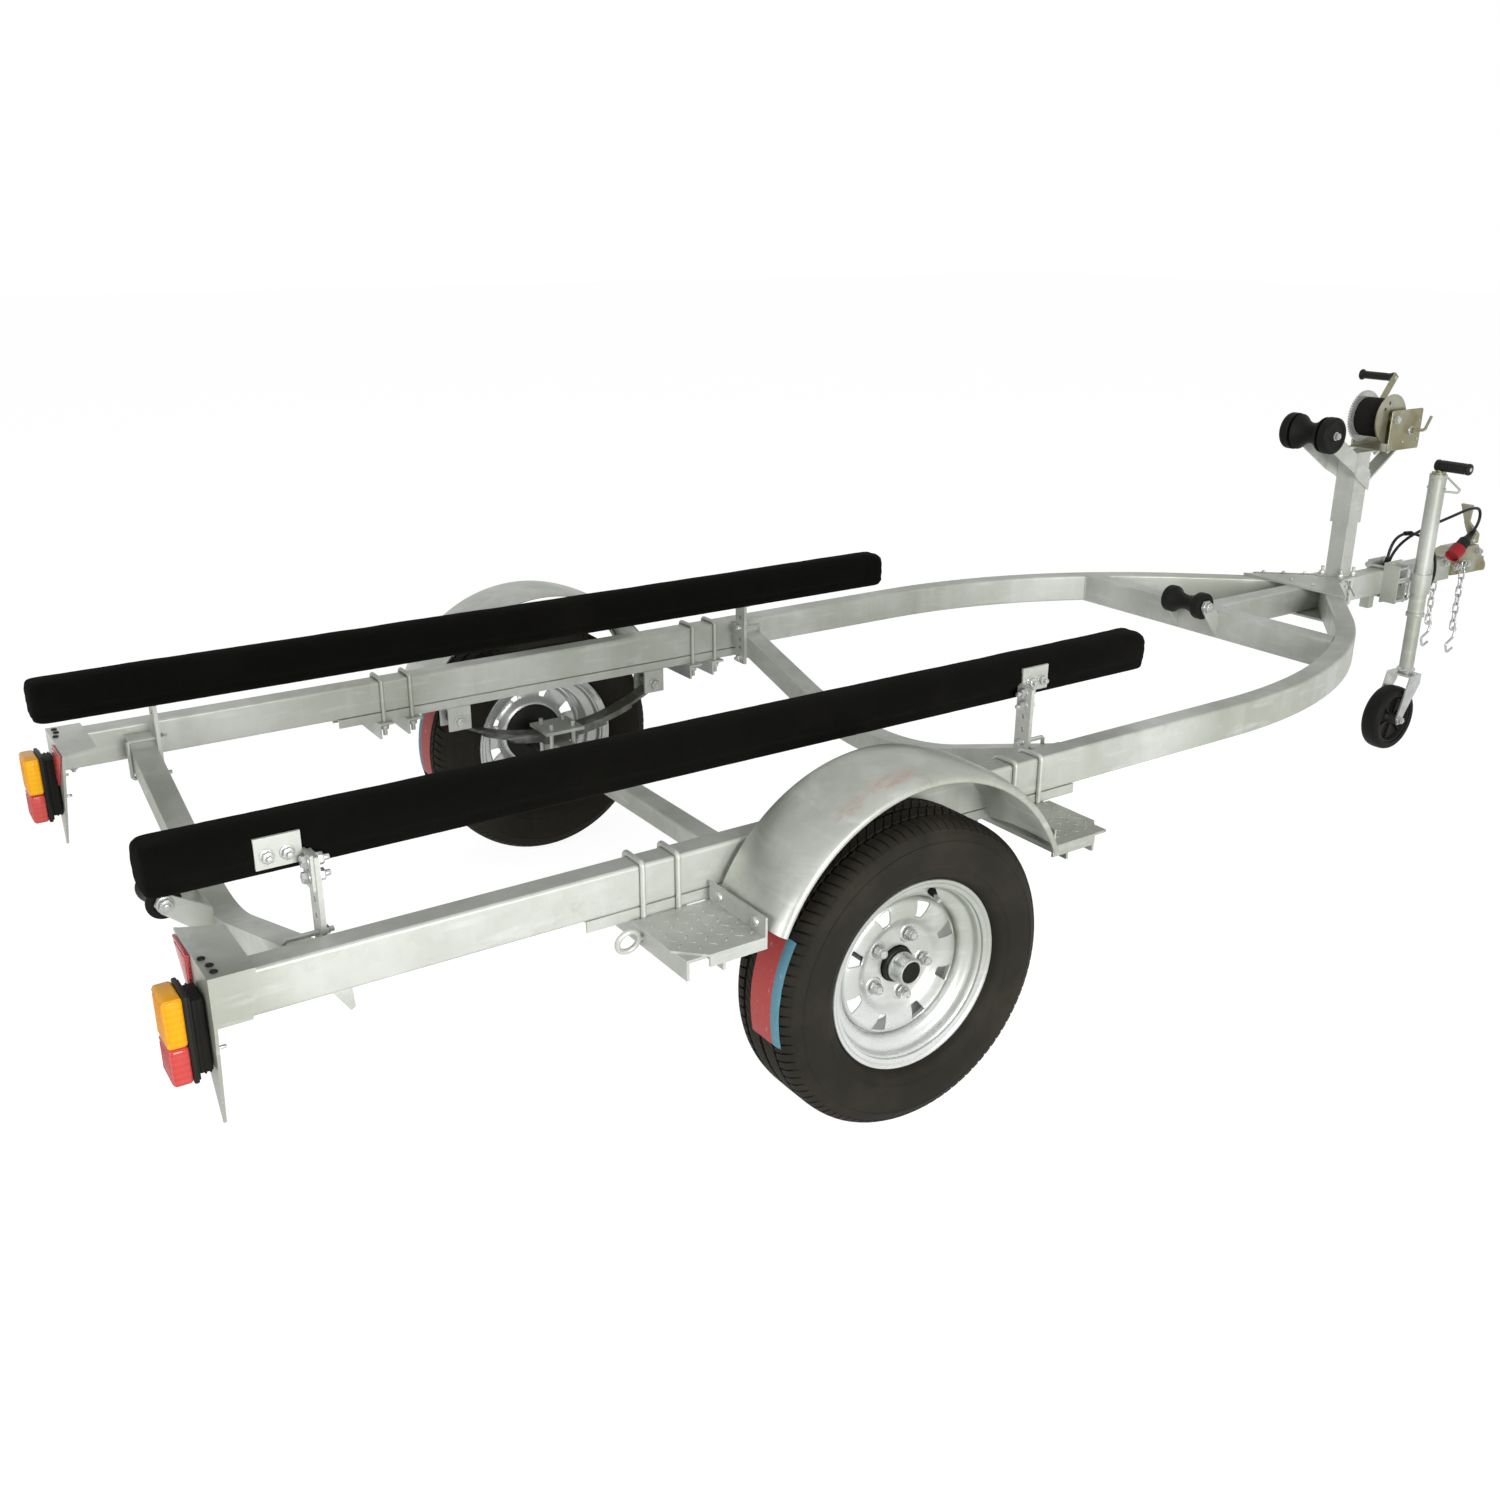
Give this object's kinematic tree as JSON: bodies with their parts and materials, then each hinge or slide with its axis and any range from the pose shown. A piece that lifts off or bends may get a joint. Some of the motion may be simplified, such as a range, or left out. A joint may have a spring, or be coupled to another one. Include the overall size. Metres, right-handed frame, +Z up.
{
  "type": "boat trailer",
  "caption": "Single-axle boat trailer with padded bunks, keel and bow rollers, a hand winch, jockey wheel, mudguards with steps and a ball coupling.",
  "frame": {"origin": "middle of the footprint at ground level", "axes": "+X towards the coupling, +Y to the left side, +Z up"},
  "size_m": [4.262, 1.652, 1.128],
  "materials": {
    "galvanised": "dull hot-dip galvanised",
    "zinc": "yellow passivated zinc",
    "bright_zinc": "bright zinc",
    "tyre_rubber": "matt",
    "black_rubber": "matt",
    "carpet": "black covering over padding",
    "black_plastic": "matt",
    "red_plastic": "satin",
    "amber_lens": "clear amber",
    "red_lens": "clear red",
    "webbing": "woven strap",
    "grey_plastic": "matt"
  },
  "bodies": {
    "chassis": {"leaf_spring_left": "galvanised", "leaf_spring_right": "galvanised", "rail_left": "galvanised", "rail_right": "galvanised", "drawbar": "galvanised", "crossmember_front": "galvanised", "crossmember_rear": "galvanised", "crossmember_middle": "galvanised", "frame_plates": "galvanised", "light_bracket_left": "galvanised", "light_bracket_right": "galvanised", "spring_set_left": "galvanised", "spring_set_right": "galvanised", "axle": "galvanised", "ubolts": "galvanised", "steps_left": "galvanised", "steps_right": "galvanised", "mudguard_left": "galvanised", "mudguard_right": "galvanised", "bunk_brackets": "galvanised", "keel_brackets": "galvanised", "winch_mast": "galvanised", "winch_sleeve": "galvanised", "jockey_tube": "galvanised", "jockey_clamp": "galvanised", "chains": "bright_zinc", "winch_frame": "zinc", "coupling": "zinc", "cable": "black_rubber", "bunk_left": "carpet", "bunk_right": "carpet", "lamp_bases": "black_plastic", "plug_body": "black_plastic", "plug_socket": "red_plastic", "lamp_amber": "amber_lens", "lamp_red": "red_lens", "reflectors": "red_lens"},
    "wheel_left": {"tyre_left": "tyre_rubber", "rim_left": "galvanised", "hub_left": "bright_zinc"},
    "wheel_right": {"tyre_right": "tyre_rubber", "rim_right": "galvanised", "hub_right": "bright_zinc"},
    "bow_roller": {"bow_roller": "black_rubber"},
    "keel_roller_rear": {"keel_roller_rear": "black_rubber"},
    "keel_roller_front": {"keel_roller_front": "black_rubber"},
    "winch_drum": {"winch_drum": "zinc", "winch_strap": "webbing", "winch_gear": "bright_zinc"},
    "winch_crank": {"winch_crank": "zinc", "winch_grip": "black_plastic"},
    "jockey_leg": {"jockey_leg": "galvanised"},
    "jockey_fork": {"jockey_fork": "bright_zinc"},
    "jockey_wheel": {"jockey_tyre": "black_rubber", "jockey_rim": "grey_plastic"},
    "jockey_crank": {"jockey_crank": "zinc", "jockey_grip": "black_plastic"}
  },
  "joints": [
    {"name": "wheel_left_spin", "type": "hinge", "parent": "chassis", "child": "wheel_left", "pos_m": [-0.924, 0.729, 0.294], "axis": [0, 1, 0], "continuous": true},
    {"name": "wheel_right_spin", "type": "hinge", "parent": "chassis", "child": "wheel_right", "pos_m": [-0.924, -0.729, 0.294], "axis": [0, 1, 0], "continuous": true},
    {"name": "bow_roller_spin", "type": "hinge", "parent": "chassis", "child": "bow_roller", "pos_m": [1.14695, 0, 0.994], "axis": [0, 1, 0], "continuous": true},
    {"name": "keel_roller_rear_spin", "type": "hinge", "parent": "chassis", "child": "keel_roller_rear", "pos_m": [-2.01, 0, 0.422], "axis": [0, 1, 0], "continuous": true},
    {"name": "keel_roller_front_spin", "type": "hinge", "parent": "chassis", "child": "keel_roller_front", "pos_m": [0.694, 0, 0.574], "axis": [0, 1, 0], "continuous": true},
    {"name": "winch_drum_spin", "type": "hinge", "parent": "chassis", "child": "winch_drum", "pos_m": [1.44595, 0, 1.016], "axis": [0, 1, 0], "continuous": true},
    {"name": "winch_crank_spin", "type": "hinge", "parent": "chassis", "child": "winch_crank", "pos_m": [1.52341, 0, 0.981], "axis": [0, 1, 0], "continuous": true},
    {"name": "jockey_leg_slide", "type": "slide", "parent": "chassis", "child": "jockey_leg", "axis": [0, 0, 1], "range_m": [0, 0.15]},
    {"name": "jockey_castor", "type": "hinge", "parent": "jockey_leg", "child": "jockey_fork", "pos_m": [1.652, -0.092, 0.236], "axis": [0, 0, 1], "continuous": true},
    {"name": "jockey_wheel_spin", "type": "hinge", "parent": "jockey_fork", "child": "jockey_wheel", "pos_m": [1.594, -0.092, 0.1], "axis": [0, 1, 0], "continuous": true},
    {"name": "jockey_crank_spin", "type": "hinge", "parent": "chassis", "child": "jockey_crank", "pos_m": [1.652, -0.092, 0.848], "axis": [0, 0, 1], "continuous": true}
  ],
  "couplings": [
    {"joint": "winch_crank_spin", "follows": "winch_drum_spin", "ratio": -5.1818}
  ]
}
